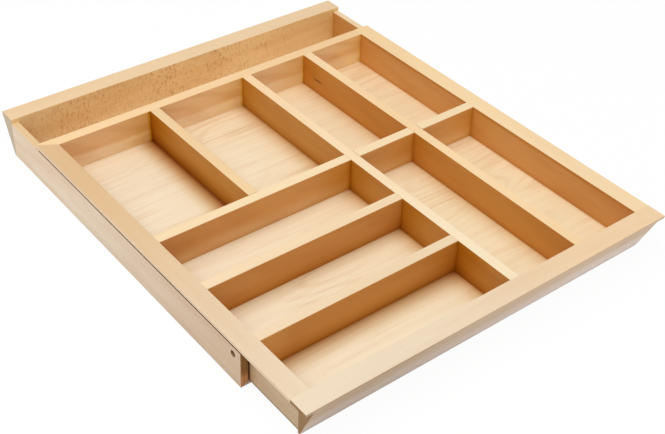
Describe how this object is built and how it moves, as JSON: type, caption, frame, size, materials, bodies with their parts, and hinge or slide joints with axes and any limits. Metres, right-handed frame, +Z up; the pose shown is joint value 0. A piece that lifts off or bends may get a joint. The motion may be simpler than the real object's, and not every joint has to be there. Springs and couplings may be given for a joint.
{
  "type": "cutlery tray",
  "caption": "Extending wooden cutlery tray: a grid of cutlery slots and pockets under flat rims, and a railed end section that slides out to widen it.",
  "frame": {"origin": "middle of the footprint on the drawer's floor, with the extension drawn out 60 mm as pictured", "axes": "+X along the slide, away from the extension; +Y from the cutlery slots to the long slots; +Z up"},
  "size_m": [0.5764, 0.473, 0.0491],
  "materials": {
    "solid_beech": "clear satin lacquer on fine straight grain with short ray flecks",
    "beech_plywood": "clear satin lacquer on rotary cut veneer",
    "dowel_beech": "bare, fluted stock",
    "zinc_steel": "bright zinc plating"
  },
  "bodies": {
    "tray": {"right_end_board": "solid_beech", "inner_cross_wall": "solid_beech", "front_side_wall": "solid_beech", "back_side_wall": "solid_beech", "front_rim": "solid_beech", "back_rim": "solid_beech", "base_panel": "beech_plywood", "cross_divider": "solid_beech", "front_long_divider": "solid_beech", "back_long_divider": "solid_beech", "pocket_divider": "solid_beech", "slot_divider_1": "solid_beech", "slot_divider_2": "solid_beech", "wall_dowels": "dowel_beech", "base_staples": "zinc_steel"},
    "extension": {"extension_end_board": "solid_beech", "front_rail": "solid_beech", "back_rail": "solid_beech", "extension_panel": "beech_plywood", "front_guide_screw": "zinc_steel", "back_guide_screw": "zinc_steel", "rail_dowels": "dowel_beech", "panel_staples": "zinc_steel"}
  },
  "joints": [
    {"name": "extension_slide", "type": "slide", "parent": "tray", "child": "extension", "axis": [-1, 0, 0], "range_m": [-0.0595, 0.14]}
  ]
}
